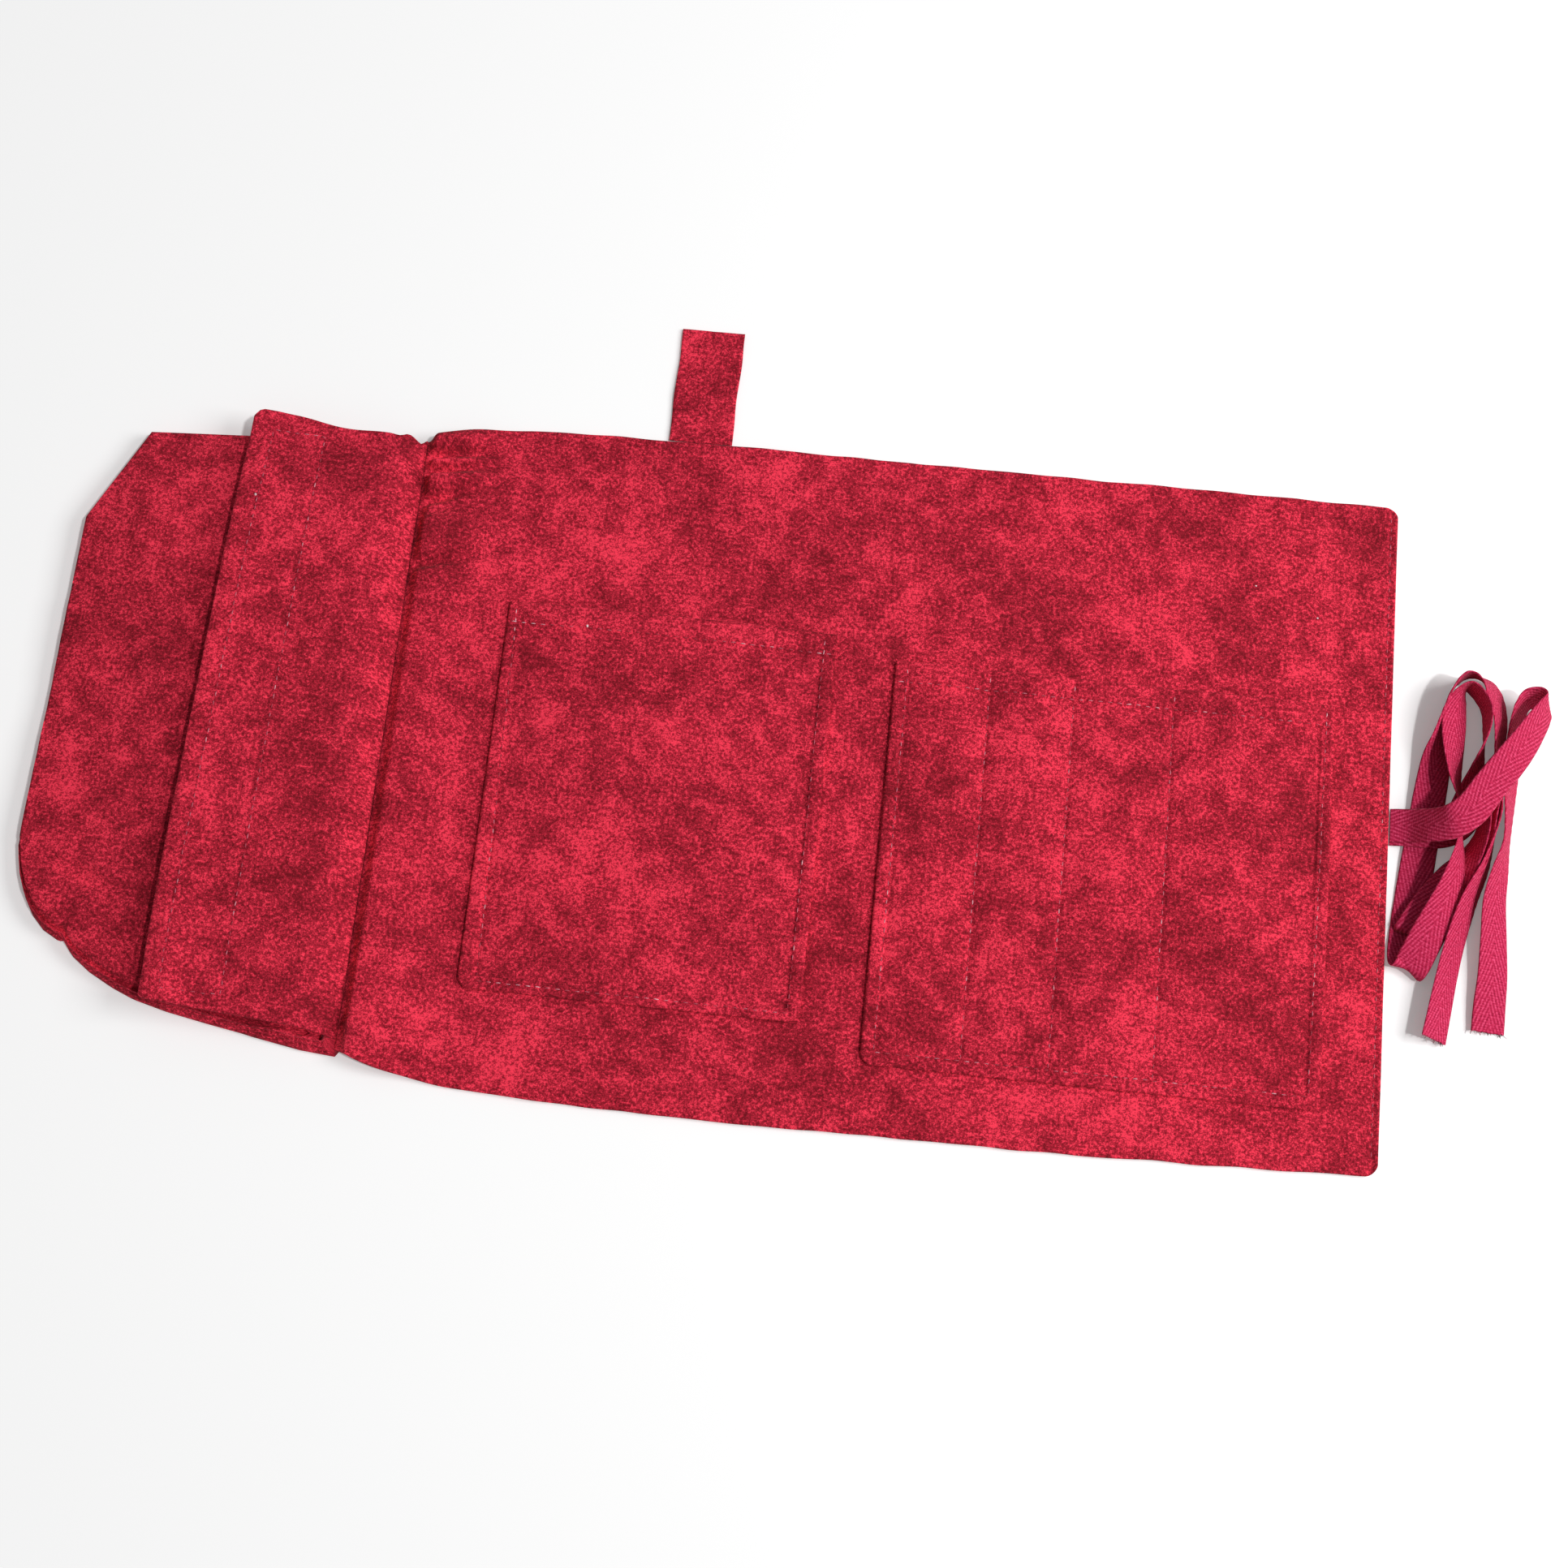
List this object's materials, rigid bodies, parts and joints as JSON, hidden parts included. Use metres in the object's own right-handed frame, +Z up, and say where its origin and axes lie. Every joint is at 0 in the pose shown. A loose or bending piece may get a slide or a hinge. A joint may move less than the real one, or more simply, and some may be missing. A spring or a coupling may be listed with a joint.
{
  "type": "roll-up dice pouch",
  "caption": "Roll-up cloth pouch laid open: a lined panel with patch pockets, a boxed dice bag closed by a flap, an edge tab and a twill tape tie.",
  "frame": {"origin": "on the underside, at the middle of the main panel", "axes": "+X along the length from the bag to the tie, +Y across the panel towards the tab, +Z up from the table"},
  "size_m": [0.5465, 0.3032, 0.0192],
  "materials": {
    "cotton": "mottled crimson print on plain-weave cotton",
    "hook_and_loop": "dark red nylon hook and loop",
    "twill_tape": "raspberry herringbone cotton twill tape"
  },
  "bodies": {
    "root": {"main_panel": "cotton", "dice_bag": "cotton", "bag_flap": "cotton", "loop_strip": "hook_and_loop", "hook_strip": "hook_and_loop", "plain_pocket": "cotton", "divided_pocket": "cotton", "edge_tab": "cotton", "tie_tail_front": "twill_tape", "tie_tail_back": "twill_tape"}
  },
  "joints": []
}
